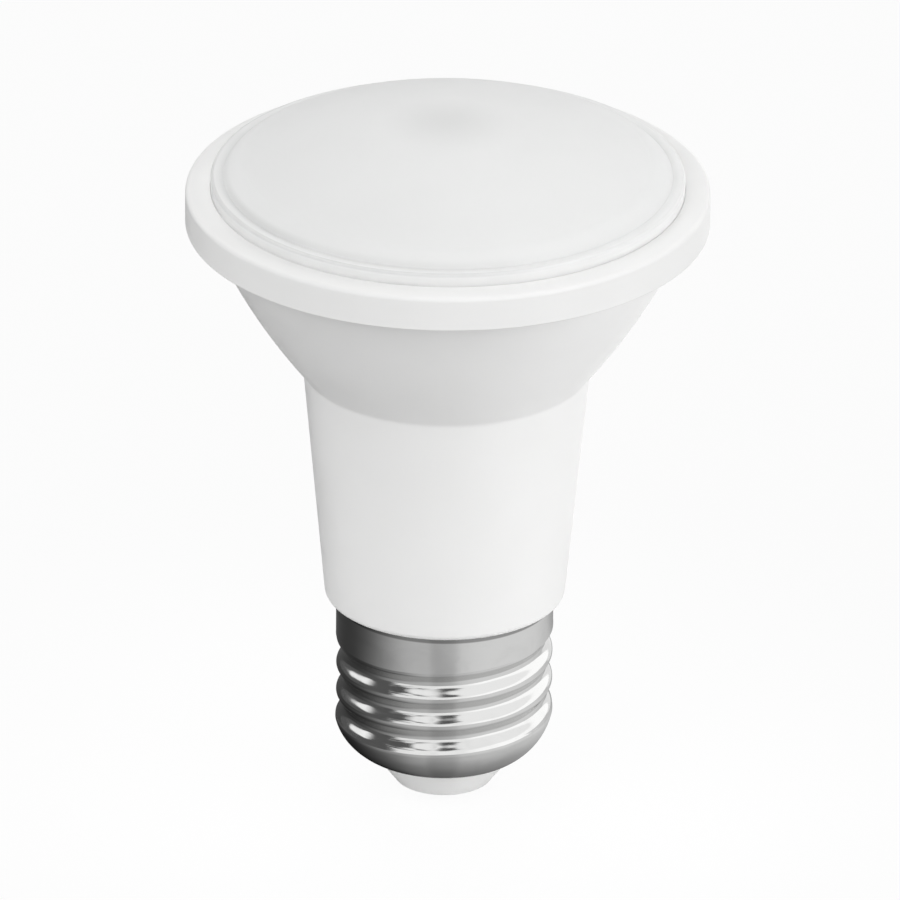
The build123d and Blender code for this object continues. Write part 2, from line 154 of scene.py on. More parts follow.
class HousingSizes(bpy.types.PropertyGroup):
    """Housing and rim ring."""

    neck_radius: length("Neck radius", "Radius at the lower end of the neck", 14.55 * MM)
    neck_round: length("Neck rounding", "Rounding of the neck's lower edge", 0.9 * MM)
    neck_wall: length("Neck wall", "Wall of the neck", 1.7 * MM)
    crease_radius: length("Crease radius", "Radius where the neck meets the cone", 17.4 * MM)
    neck_height: length("Neck height", "Height of the neck", 30.2 * MM)
    crease_round: length("Crease rounding", "Rounding of the crease", 1.2 * MM)
    cone_bow: length("Cone bow", "Outward bulge of the cone", 0.79 * MM)
    cone_wall: length("Cone wall", "Wall of the cone", 2.0 * MM)
    spigot_radius: length("Spigot radius", "Radius of the spigot inside the thread", 11.91 * MM)
    spigot_collar: length("Spigot collar", "Radius of the spigot inside the collar", 12.8 * MM)
    spigot_wall: length("Spigot wall", "Wall of the spigot", 1.5 * MM)
    ledge: length("Ledge", "Thickness of the ledge in the neck", 1.6 * MM)
    rib_reach: length("Rib reach", "How far the board's guide ribs stand in", 1.6 * MM)
    rib_width: length("Rib width", "Width of a guide rib", 1.4 * MM)
    rib_gap: length("Rib gap", "Clearance between a guide rib and the board", 0.1 * MM)
    rib_root: length("Rib root", "How far a guide rib stands into the ledge", 0.1 * MM)
    rib_back: length("Rib back", "How far a guide rib reaches past the board's edge", 0.9 * MM)
    rib_drop: length("Rib drop", "Distance of a guide rib's top under the crease", 6.0 * MM)
    rim_round: length("Rim rounding", "Rounding of the rim ring's top edge", 0.55 * MM)
    rim_edge: length("Rim edge", "Rounding of the rim ring's lower edge", 0.2 * MM)
    lip_round: length("Lip rounding", "Rounding of the ring's lip at the lens", 0.08 * MM)
    rim_crown: length("Rim crown", "Rise of the ring's top towards the lens", 0.2 * MM)
    rim_seat: length("Rim seat", "Radius of the ring's lip, closed on the lens", 28.72 * MM)
    rim_bore: length("Rim bore", "Radius of the ring's bore", 28.05 * MM)
    rim_spigot: length("Rim spigot", "Radius of the spigot in the ring", 27.95 * MM)


class LensSizes(bpy.types.PropertyGroup):
    """Lens and light board."""

    wall: length("Lens wall", "Wall of the lens", 1.5 * MM)
    flange_drop: length("Flange drop", "Height of the crown over the flange", 7.15 * MM)
    flange_width: length("Flange width", "Width of the flat flange", 1.5 * MM)
    edge_round: length("Edge rounding", "Rounding of the flange's edge", 0.35 * MM)
    shoulder_width: length("Shoulder width", "Width of the rounded shoulder", 2.6 * MM)
    shoulder_rise: length("Shoulder rise", "Rise of the rounded shoulder", 1.75 * MM)
    shoulder_bow: length("Shoulder bow", "Bulge of the rounded shoulder", 0.25 * MM)
    shoulder_round: length("Shoulder rounding", "Rounding between shoulder and dome", 0.8 * MM)
    diode_count: number("Diodes", "Diodes on the light board", 12)
    diode_ring: length("Diode ring", "Radius of the ring of diodes", DIODE_RING)
    diode_length: length("Diode length", "Length of a diode's package", 3.5 * MM)
    diode_width: length("Diode width", "Width of a diode's package", 2.8 * MM)
    diode_height: length("Diode height", "Height of a diode's package", 0.7 * MM)
    window_margin: length("Window margin", "Frame round a diode's window", 0.45 * MM)
    window_depth: length("Window depth", "Depth of a diode's window", 0.12 * MM)


class LampFinishes(bpy.types.PropertyGroup):
    """Colours of the lamp's finishes."""

    plastic: colour("Plastic", "White moulded plastic", (0.89, 0.89, 0.885))
    plastic_shade: colour("Plastic shade", "Darker drifts in the white plastic", (0.87, 0.87, 0.865))
    ring: colour("Ring", "Rim ring", (0.85, 0.85, 0.845))
    ring_shade: colour("Ring shade", "Darker drifts in the rim ring", (0.83, 0.83, 0.825))
    lens: colour("Lens", "Frosted lens", (0.825, 0.83, 0.825))
    lens_crown: colour("Lens crown", "Soft shade at the crown of the lens", (0.73, 0.735, 0.73))
    # Painted light on the foot of the lens's upright edge, where the ring shades it
    lens_skirt_painted_light: colour("Lens skirt", "Paler foot of the lens's upright edge", (0.92, 0.92, 0.915))
    nickel: colour("Nickel", "Plated screw shell", (0.66, 0.66, 0.655))
    contact: colour("Contact", "Plated contact", (0.7, 0.66, 0.58))
    aluminium: colour("Aluminium", "Bare sheet aluminium", (0.72, 0.72, 0.73))
    board_mask: colour("Board mask", "White solder mask", (0.85, 0.85, 0.83))
    circuit: colour("Circuit board", "Green solder mask", (0.02, 0.14, 0.05))
    phosphor: colour("Phosphor", "Window of a diode", (0.8, 0.62, 0.14))


class StageSettings(bpy.types.PropertyGroup):
    """Camera, light and floor."""

    aim: bpy.props.FloatVectorProperty(
        name="Aim",
        description="Point that the camera looks at",
        default=(0.0005, 0.0, 0.0447),
        subtype="XYZ",
    )
    distance: length("Distance", "Distance of the camera", 3.9784)
    elevation: angle("Elevation", "Camera's height over the horizon", 25.006)
    roll: angle("Roll", "Turn of the camera on its axis", 0.45)
    lens: camera_length("Lens", "Focal length of the camera", 1312.07)
    sensor: camera_length("Sensor", "Width of the camera's sensor", 36.0)
    key_power: power("Key", "Power of the key light", 5.8)
    fill_power: power("Fill", "Power of the fill light", 3.7)
    front_power: power("Front", "Power of the front light", 1.5)
    back_power: power("Back", "Power of the back light", 3.0)
    light_distance: length("Light distance", "Distance of the lights", 0.8)
    light_size: length("Light size", "Side of each square light", 0.7)
    light_aim: length("Light aim", "Height that the lights face", 0.05)
    ambient: bpy.props.FloatProperty(name="Ambient", description="Strength of the even light", default=0.2)
    floor_radius: length("Floor radius", "Radius of the round floor", 1.5)
    floor_drop: length("Floor drop", "Gap between the floor and the lamp", 0.05 * MM)


# Outlines, as lists of (radius, height)


def arc(start, end, bow):
    """Centre and radius of the arc from start to end that bulges by bow to the right of its way."""
    chord = hypot(end[0] - start[0], end[1] - start[1])
    radius = (chord * chord / 4 + bow * bow) / (2 * bow)
    side = ((end[1] - start[1]) / chord, (start[0] - end[0]) / chord)
    centre = [(start[i] + end[i]) / 2 - side[i] * (radius - bow) for i in (0, 1)]
    return centre, radius


def bowed(start, end, bow, count):
    """Points on the arc from start to end."""
    centre, radius = arc(start, end, bow)
    first = atan2(start[1] - centre[1], start[0] - centre[0])
    last = atan2(end[1] - centre[1], end[0] - centre[0])
    turn = (last - first + pi) % (2 * pi) - pi
    steps = [first + turn * i / count for i in range(count + 1)]
    return [(centre[0] + radius * cos(a), centre[1] + radius * sin(a)) for a in steps]


def corner(before, at, after, radius, count=6):
    """Points that round one corner of an outline."""
    into = Vector((before[0] - at[0], before[1] - at[1])).normalized()
    out = Vector((after[0] - at[0], after[1] - at[1])).normalized()
    half = into.angle(out) / 2
    reach = radius / tan(half)
    centre = Vector(at) + (into + out).normalized() * (radius / sin(half))
    start, end = Vector(at) + into * reach - centre, Vector(at) + out * reach - centre
    turn = start.angle_signed(end)
    points = []
    for i in range(count + 1):
        points.append(tuple(centre + Matrix.Rotation(-turn * i / count, 2) @ start))
    return points


def rounded(outline, radii):
    """Closed outline with the corners whose numbers are in radii rounded."""
    points = []
    for i, at in enumerate(outline):
        if i in radii:
            points += corner(outline[i - 1], at, outline[(i + 1) % len(outline)], radii[i])
        else:
            points.append(at)
    return points


def supported(outline, step=1.2 * MM, close=0.06 * MM):
    """Outline with its long runs split, also close to their ends, so that shading stays true."""
    points = []
    for i, a in enumerate(outline):
        b = outline[(i + 1) % len(outline)]
        run = hypot(b[0] - a[0], b[1] - a[1])
        points.append(a)
        if run > 5 * close and max(a[0], b[0]) > close:
            parts = max(1, round(run / step))
            shares = [close / run, *(j / parts for j in range(1, parts)), 1 - close / run]
            points += [(a[0] + (b[0] - a[0]) * s, a[1] + (b[1] - a[1]) * s) for s in shares]
    return points


# Meshes


def turned(bm, outline, columns=192):
    """Adds the solid that a closed outline makes when it is turned about the axis."""
    rings = []
    for radius, height in outline:
        if radius < TINY:
            rings.append([bm.verts.new((0, 0, height))])
        else:
            turns = [2 * pi * i / columns for i in range(columns)]
            rings.append([bm.verts.new((radius * cos(t), radius * sin(t), height)) for t in turns])
    for a, b in zip(rings, rings[1:] + rings[:1]):
        if len(a) == len(b) == 1:
            continue
        for i in range(columns):
            j = (i + 1) % columns
            if len(a) == 1:
                bm.faces.new((a[0], b[i], b[j]))
            elif len(b) == 1:
                bm.faces.new((a[i], b[0], a[j]))
            else:
                bm.faces.new((a[i], b[i], b[j], a[j]))


def box(bm, low, high):
    """Adds a box between two corners."""
    made = bmesh.ops.create_cube(bm, size=1)["verts"]
    for v in made:
        v.co = [low[i] + (v.co[i] + 0.5) * (high[i] - low[i]) for i in range(3)]


def finish_mesh(bm, name, material, crease=radians(32)):
    """Object from a mesh, with outward faces, smooth shading and sharp creases."""
    bmesh.ops.recalc_face_normals(bm, faces=bm.faces)
    for face in bm.faces:
        face.smooth = True
    for edge in bm.edges:
        edge.smooth = len(edge.link_faces) != 2 or edge.calc_face_angle(0) < crease
    mesh = bpy.data.meshes.new(name)
    bm.to_mesh(mesh)
    bm.free()
    mesh.materials.append(material)
    piece = bpy.data.objects.new(name, mesh)
    bpy.context.scene.collection.objects.link(piece)
    return piece


def dress(piece, slot, *nodes):
    """Puts a finished piece in the place of its CAD nodes."""
    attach(piece, "root")
    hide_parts(*nodes)


# Node trees


class Tree:
    """Short way to add and join nodes in one tree."""

    def __init__(self, tree):
        self.tree = tree

    def add(self, kind, values=None, **attributes):
        """New node with attributes set, and inputs set or linked by name or number."""
        node = self.tree.nodes.new(kind)
        for key, value in attributes.items():
            setattr(node, key, value)
        for key, value in (values or {}).items():
            self.put(node.inputs[key], value)
        return node

    def put(self, socket, value):
        """Links an output to a socket, or sets the socket's value."""
        if isinstance(value, bpy.types.NodeSocket):
            self.tree.links.new(value, socket)
        else:
            socket.default_value = value

    def math(self, operation, *values):
        """Output of a Math node."""
        return self.add("ShaderNodeMath", dict(enumerate(values)), operation=operation).outputs[0]

    def times(self, first, *others):
        """Product of values."""
        for value in others:
            first = self.math("MULTIPLY", first, value)
        return first

    def ramp(self, value, low, high, start=0.0, end=1.0):
        """Output of a smooth change from start to end while value goes from low to high."""
        values = {"Value": value, "From Min": low, "From Max": high, "To Min": start, "To Max": end}
        return self.add("ShaderNodeMapRange", values, interpolation_type="SMOOTHSTEP").outputs["Result"]

    def mix(self, factor, a, b):
        """Colour mixed from a to b."""
        node = self.add("ShaderNodeMix", data_type="RGBA")
        sockets = {socket.identifier: socket for socket in (*node.inputs, *node.outputs)}
        for key, value in (("Factor_Float", factor), ("A_Color", a), ("B_Color", b)):
            self.put(sockets[key], (*value, 1.0) if isinstance(value, tuple) else value)
        return sockets["Result_Color"]

    def noise(self, place, scale, detail, distortion=0.0):
        """Output of a noise over a place."""
        values = {"Vector": place, "Scale": scale, "Detail": detail, "Distortion": distortion}
        return self.add("ShaderNodeTexNoise", values).outputs["Fac"]

    def bump(self, height, distance):
        """Normal of a surface that a height of 1 raises by the distance."""
        values = {"Height": height, "Strength": 1.0, "Distance": distance}
        return self.add("ShaderNodeBump", values).outputs["Normal"]

    def axes(self, vector):
        """The three numbers of a vector."""
        return list(self.add("ShaderNodeSeparateXYZ", {0: vector}).outputs)

    def vector(self, x=0.0, y=0.0, z=0.0):
        """Vector of three numbers."""
        return self.add("ShaderNodeCombineXYZ", {"X": x, "Y": y, "Z": z}).outputs[0]


def heading(azimuth, elevation):
    """Direction at an azimuth from the front and an elevation, both in radians."""
    return Vector((sin(azimuth) * cos(elevation), -cos(azimuth) * cos(elevation), sin(elevation)))


def facing(tree, way, azimuth, elevation=0.0):
    """Cosine between a direction's numbers and the way at an azimuth and an elevation in degrees."""
    total = 0.0
    for socket, share in zip(way, heading(radians(azimuth), radians(elevation))):
        total = tree.math("MULTIPLY_ADD", socket, share, total)
    return total


def level(tree, way):
    """Length of a direction's level part, kept over zero."""
    squares = [tree.math("MULTIPLY", socket, socket) for socket in way[:2]]
    return tree.math("MAXIMUM", tree.math("SQRT", tree.math("ADD", *squares)), TINY)


def beside(tree, way, reach, azimuth):
    """Cosine between a direction's level part, whose length is reach, and an azimuth in degrees."""
    return tree.math("DIVIDE", facing(tree, way[:2], azimuth), reach)


def shader_group(name, inputs, outputs):
    """Empty shader node group with named numbers: the group, its tree, its inputs and its outputs."""
    group = bpy.data.node_groups.new(name, "ShaderNodeTree")
    for label, default in inputs.items():
        socket = group.interface.new_socket(name=label, in_out="INPUT", socket_type="NodeSocketFloat")
        socket.default_value = default
    for label in outputs:
        group.interface.new_socket(name=label, in_out="OUTPUT", socket_type="NodeSocketFloat")
    tree = Tree(group)
    return group, tree, tree.add("NodeGroupInput").outputs, tree.add("NodeGroupOutput").inputs


def geometry_group(name, lengths, counts, finishes):
    """Empty geometry node tree with named inputs: the group, its tree, its inputs and its result."""
    group = bpy.data.node_groups.new(name, "GeometryNodeTree")
    group.interface.new_socket(name="Geometry", in_out="OUTPUT", socket_type="NodeSocketGeometry")
    kinds = {"NodeSocketFloat": lengths, "NodeSocketInt": counts, "NodeSocketMaterial": finishes}
    for kind, labels in kinds.items():
        for label in labels:
            group.interface.new_socket(name=label, in_out="INPUT", socket_type=kind)
    tree = Tree(group)
    return group, tree, tree.add("NodeGroupInput").outputs, tree.add("NodeGroupOutput").inputs["Geometry"]


def grown(name, group, values, wall=0.0, crease=radians(40)):
    """Plain mesh object from a geometry node tree, with a wall added where one is given."""
    holder = bpy.data.objects.new(name + "_source", bpy.data.meshes.new(name + "_source"))
    bpy.context.scene.collection.objects.link(holder)
    modifier = holder.modifiers.new("Shape", "NODES")
    modifier.node_group = group
    sockets = {s.name: s.identifier for s in group.interface.items_tree if s.in_out == "INPUT"}
    for key, value in values.items():
        modifier[sockets[key]] = value
    if wall:
        skin = holder.modifiers.new("Wall", "SOLIDIFY")
        skin.thickness = wall
        skin.offset = -1.0
    view = bpy.context.evaluated_depsgraph_get()
    mesh = bpy.data.meshes.new_from_object(holder.evaluated_get(view))
    mesh.name = name
    mesh.set_sharp_from_angle(angle=crease)
    for index in reversed(range(len(mesh.materials))):
        if mesh.materials[index] is None:
            mesh.materials.pop(index=index)
    bpy.data.objects.remove(holder)
    piece = bpy.data.objects.new(name, mesh)
    bpy.context.scene.collection.objects.link(piece)
    return piece


# Finishes


def moulded_grain():
    """Fine spark texture and slow drifts of tone on moulded plastic."""
    if "moulded_grain" in bpy.data.node_groups:
        return bpy.data.node_groups["moulded_grain"]
    scales = {"Grain Scale": 9000.0}
    group, tree, given, result = shader_group("moulded_grain", scales, ["Tone", "Gloss", "Height"])
    place = tree.add("ShaderNodeTexCoord").outputs["Object"]
    drift = tree.noise(place, scale=55.0, detail=2.0)
    smear = tree.noise(place, scale=240.0, detail=4.0, distortion=0.8)
    tree.put(result["Tone"], tree.ramp(drift, 0.35, 0.65))
    tree.put(result["Gloss"], tree.ramp(smear, 0.3, 0.7))
    tree.put(result["Height"], tree.noise(place, scale=given["Grain Scale"], detail=3.0))
    return group


def drawn_lines():
    """Fine rings left by rolling or turning, and faint handling marks."""
    if "drawn_lines" in bpy.data.node_groups:
        return bpy.data.node_groups["drawn_lines"]
    scales = {"Ring Scale": 2600.0, "Run Scale": 60.0}
    group, tree, given, result = shader_group("drawn_lines", scales, ["Ring", "Mark", "Height"])
    place = tree.add("ShaderNodeTexCoord").outputs["Object"]
    x, y, z = tree.axes(place)
    run = [tree.times(axis, given["Run Scale"]) for axis in (x, y)]
    ring = tree.noise(tree.vector(*run, tree.times(z, given["Ring Scale"])), scale=1.0, detail=3.0)
    mark = tree.noise(place, scale=190.0, detail=5.0, distortion=1.2)
    tree.put(result["Ring"], tree.ramp(ring, 0.35, 0.65))
    tree.put(result["Mark"], tree.ramp(mark, 0.45, 0.75))
    tree.put(result["Height"], ring)
    return group


def new_material(name):
    """Material with a principled shader, its tree and the shader."""
    material = bpy.data.materials.new(name)
    material.use_nodes = True
    return material, Tree(material.node_tree), material.node_tree.nodes["Principled BSDF"]


def plastic_finish(name, light, shade, roughness, spread, grain=9000.0, relief=0.004 * MM):
    """Moulded plastic with drifts of tone, uneven gloss and a fine grain."""
    if name in bpy.data.materials:
        return bpy.data.materials[name]
    material, tree, shader = new_material(name)
    look = tree.add("ShaderNodeGroup", {"Grain Scale": grain}, node_tree=moulded_grain()).outputs
    tree.put(shader.inputs["Base Color"], tree.mix(look["Tone"], tuple(shade), tuple(light)))
    uneven = tree.ramp(look["Gloss"], 0.0, 1.0, roughness - spread, roughness + spread)
    tree.put(shader.inputs["Roughness"], uneven)
    tree.put(shader.inputs["Normal"], tree.bump(look["Height"], relief))
    return material


def metal_finish(name, base, roughness, spread, ring=2600.0, run=60.0, relief=0.002 * MM, dull=0.9):
    """Rolled or turned metal with fine rings and faint marks, which are dull times as bright."""
    if name in bpy.data.materials:
        return bpy.data.materials[name]
    material, tree, shader = new_material(name)
    scales = {"Ring Scale": ring, "Run Scale": run}
    look = tree.add("ShaderNodeGroup", scales, node_tree=drawn_lines()).outputs
    marked = tuple(c * dull for c in base)
    tree.put(shader.inputs["Base Color"], tree.mix(look["Mark"], tuple(base), marked))
    wear = tree.math("ADD", tree.times(look["Ring"], 0.5), tree.times(look["Mark"], 0.5))
    uneven = tree.ramp(wear, 0.0, 1.0, roughness - spread, roughness + spread)
    tree.put(shader.inputs["Roughness"], uneven)
    tree.put(shader.inputs["Normal"], tree.bump(look["Height"], relief))
    shader.inputs["Metallic"].default_value = 1.0
    return material


def nickel_finish(base, top):
    """Bright plated sheet, slightly wavy, with painted shade along the edge under the plastic neck."""
    wave_scale = (120.0, 120.0, 400.0)
    wave_height = 0.2 * MM
    neck_shade_span = (top - 0.95 * MM, top - 0.75 * MM)
    neck_shade_colour = tuple(c * 0.45 for c in base)
    material = metal_finish("bright_nickel", base, 0.12, 0.03, relief=0.0008 * MM, dull=0.94)
    tree = Tree(material.node_tree)
    inputs = material.node_tree.nodes["Principled BSDF"].inputs
    place = tree.add("ShaderNodeTexCoord").outputs["Object"]
    stretch = tree.add("ShaderNodeMapping", {"Vector": place, "Scale": wave_scale})
    wave = tree.noise(stretch.outputs[0], scale=1.0, detail=1.0)
    rings = inputs["Normal"].links[0].from_node
    tree.put(rings.inputs["Normal"], tree.bump(wave, wave_height))
    plain = inputs["Base Color"].links[0].from_socket
    # Painted shade: the band just under the neck's overhang is darkened to 0.45 of the plate's colour
    painted_shade = tree.ramp(tree.axes(place)[2], *neck_shade_span)
    tree.put(inputs["Base Color"], tree.mix(painted_shade, plain, neck_shade_colour))
    return material


def lens_finish(finishes, foot_radius, flange):
    """Frosted plastic that light soaks into, shaded at its crown, with painted shade in two fine lines and
    painted light on its skirt.
    """
    if "frosted_lens" in bpy.data.materials:
        return bpy.data.materials["frosted_lens"]
    crown_reach = 9.0 * MM
    line_radius = foot_radius - 0.1 * MM
    line_span = (0.1 * MM, 0.8 * MM)
    skirt_span = (flange - 1.5 * MM, flange - 0.6 * MM)
    outer_span = (LENS_HIGH.x - 0.5 * MM, LENS_HIGH.x - 0.25 * MM)
    edge_span = (flange - 0.5 * MM, flange - 0.2 * MM)
    shaded_side = -60.0
    base = tuple(finishes.lens)
    drift = tuple(c * 0.985 for c in base)
    painted_shade = tuple(c * 0.8 for c in base)
    material, tree, shader = new_material("frosted_lens")
    look = tree.add("ShaderNodeGroup", {"Grain Scale": 14000.0}, node_tree=moulded_grain()).outputs
    way = tree.axes(tree.add("ShaderNodeTexCoord").outputs["Object"])
    reach = level(tree, way)
    tone = tree.mix(look["Tone"], drift, base)
    crown = tree.ramp(reach, 0.0, crown_reach, 1.0, 0.0)
    tone = tree.mix(crown, tone, tuple(finishes.lens_crown))
    outer = tree.ramp(reach, *outer_span)
    # Painted light: the skirt below the flange, in the ring's shade, is made paler
    skirt = tree.times(outer, tree.ramp(way[2], *skirt_span, 1.0, 0.0))
    tone = tree.mix(skirt, tone, tuple(finishes.lens_skirt_painted_light))
    # Painted shade: two fine dark lines, in the crease at the shoulder's foot and over the flange's
    # rounded edge, stronger on the shaded side
    left = beside(tree, way, reach, shaded_side)
    shaded = tree.ramp(left, -0.1, 0.6)
    away = tree.math("ABSOLUTE", tree.math("SUBTRACT", reach, line_radius))
    strength = tree.math("MULTIPLY_ADD", shaded, 0.3, tree.ramp(left, 0.9, 1.0, 0.0, 0.4))
    foot = tree.times(tree.ramp(away, *line_span, 1.0, 0.0), strength)
    edge = tree.times(outer, tree.ramp(way[2], *edge_span), tree.ramp(shaded, 0.0, 1.0, 0.4, 1.0))
    tone = tree.mix(tree.math("MAXIMUM", foot, edge), tone, painted_shade)
    tree.put(shader.inputs["Base Color"], tone)
    tree.put(shader.inputs["Roughness"], tree.ramp(look["Gloss"], 0.0, 1.0, 0.56, 0.64))
    tree.put(shader.inputs["Normal"], tree.bump(look["Height"], 0.003 * MM))
    shader.inputs["Specular IOR Level"].default_value = 0.2
    shader.inputs["Subsurface Weight"].default_value = 0.6
    shader.inputs["Subsurface Radius"].default_value = (1.0, 1.0, 1.0)
    shader.inputs["Subsurface Scale"].default_value = 4.0 * MM
    return material


# Pieces


class LAMP_OT_lens(bpy.types.Operator):
    """Makes the frosted lens"""

    bl_idname = "lamp.lens"
    bl_label = "Lens"

    def execute(self, context):
        sizes, finishes = context.scene.lamp_lens, context.scene.lamp_finishes
        radius, low, top, wall = LENS_HIGH.x, LENS_LOW.z, LENS_HIGH.z, sizes.wall
        flange = top - sizes.flange_drop
        foot = (radius - sizes.flange_width, flange)
        shoulder = (foot[0] - sizes.shoulder_width, flange + sizes.shoulder_rise)
        rise = top - shoulder[1]
        dome_radius = (shoulder[0] ** 2 + rise**2) / (2 * rise)
        reach = atan2(shoulder[0], dome_radius - rise)
        steps = 30

        def dome(offset, step):
            """Point of the dome, or of a dome inside it by the offset."""
            size, turn = dome_radius - offset, reach * step / steps
            return (size * sin(turn), top - dome_radius + size * cos(turn))

        outside = [dome(0, i) for i in range(steps)]
        outside[0] = (0.0, top)
        slope = bowed(foot, shoulder, sizes.shoulder_bow, count=10)[::-1]
        bend = corner(outside[-1], shoulder, slope[1], sizes.shoulder_round, count=5)
        slope = [p for p in slope[1:] if p[0] > bend[-1][0]]
        outside = [p for p in outside if p[0] < bend[0][0]]
        rim = corner(foot, (radius, flange), (radius, low), sizes.edge_round)
        inside = [dome(wall, i) for i in range(steps, -1, -1)]
        inside[-1] = (0.0, top - wall)
        skirt = [(radius, low), (radius - wall, low), (radius - wall, flange - wall)]
        bm = bmesh.new()
        turned(bm, supported(outside + bend + slope + rim + skirt + inside))
        piece = finish_mesh(bm, "frosted_lens", lens_finish(finishes, foot[0], flange))
        dress(piece, "lens_frosted", "lens")
        return {"FINISHED"}


class LAMP_OT_rim_ring(bpy.types.Operator):
    """Makes the rim ring round the lens"""

    bl_idname = "lamp.rim_ring"
    bl_label = "Rim Ring"

    def execute(self, context):
        sizes, finishes = context.scene.lamp_housing, context.scene.lamp_finishes
        low, high, radius = RIM_LOW.z, RIM_HIGH.z, RIM_HIGH.x
        bore, seat = sizes.rim_bore, LENS_LOW.z
        outline = [
            (bore, low),
            (radius, low),
            (radius, high - sizes.rim_crown),
            (sizes.rim_seat, high),
            (sizes.rim_seat, seat),
            (bore, seat),
        ]
        radii = {1: sizes.rim_edge, 2: sizes.rim_round, 3: sizes.lip_round}
        bm = bmesh.new()
        turned(bm, supported(rounded(outline, radii)))
        white = plastic_finish("satin_white_ring", finishes.ring, finishes.ring_shade, 0.5, 0.05)
        white.node_tree.nodes["Principled BSDF"].inputs["Specular IOR Level"].default_value = 0.3
        piece = finish_mesh(bm, "rim_ring", white)
        dress(piece, "white_plastic", "bezel_ring")
        return {"FINISHED"}


class LAMP_OT_housing(bpy.types.Operator):
    """Makes the housing: neck, cone, spigots and guide ribs"""

    bl_idname = "lamp.housing"
    bl_label = "Housing"

    def execute(self, context):
        cap, sizes = context.scene.lamp_cap, context.scene.lamp_housing
        finishes = context.scene.lamp_finishes
        neck, rim, seat, end = SHELL_HIGH.z, RIM_LOW.z, HOUSING_HIGH.z, HOUSING_LOW.z
        collar = cap.thread_low + cap.end_land + cap.grooves * cap.pitch + cap.top_land
        ledge = neck + sizes.ledge
        wall, bow, steps = sizes.cone_wall, sizes.cone_bow, 22
        neck_foot = (sizes.neck_radius, neck)
        foot = (sizes.crease_radius, neck + sizes.neck_height)
        head = (HOUSING_HIGH.x, rim)
        cone = bowed(foot, head, bow, steps)
        bore = bowed((foot[0] - wall, foot[1]), (head[0] - wall, rim), bow, steps)[::-1]
        crease = corner(neck_foot, foot, cone[1], sizes.crease_round)
        edge = corner((sizes.spigot_collar, neck), neck_foot, foot, sizes.neck_round)
        neck_bore = sizes.neck_radius - sizes.neck_wall
        spigot_bore = sizes.spigot_radius - sizes.spigot_wall
        spigot, inner = sizes.rim_spigot, sizes.rim_spigot - sizes.spigot_wall
        outline = edge + crease + cone[1:]
        outline += [(spigot, rim), (spigot, seat), (inner, seat), (inner, rim)]
        outline += bore
        outline += [
            (neck_bore, ledge),
            (spigot_bore, ledge),
            (spigot_bore, end),
            (sizes.spigot_radius, end),
            (sizes.spigot_radius, collar),
            (sizes.spigot_collar, collar),
            (sizes.spigot_collar, neck),
        ]
        bm = bmesh.new()
        turned(bm, supported(outline))
        rib_low, rib_high = ledge - sizes.rib_root, foot[1] - sizes.rib_drop
        reach = DRIVER_HIGH.x
        for side in (-1, 1):
            ends = sorted((side * (reach - sizes.rib_reach), side * (reach + sizes.rib_back)))
            for y in (DRIVER_LOW.y - sizes.rib_gap - sizes.rib_width, DRIVER_HIGH.y + sizes.rib_gap):
                box(bm, (ends[0], y, rib_low), (ends[1], y + sizes.rib_width, rib_high))
        white = plastic_finish("satin_white_plastic", finishes.plastic, finishes.plastic_shade, 0.42, 0.05)
        piece = finish_mesh(bm, "housing_shell", white)
        dress(piece, "white_plastic", "housing")
        return {"FINISHED"}


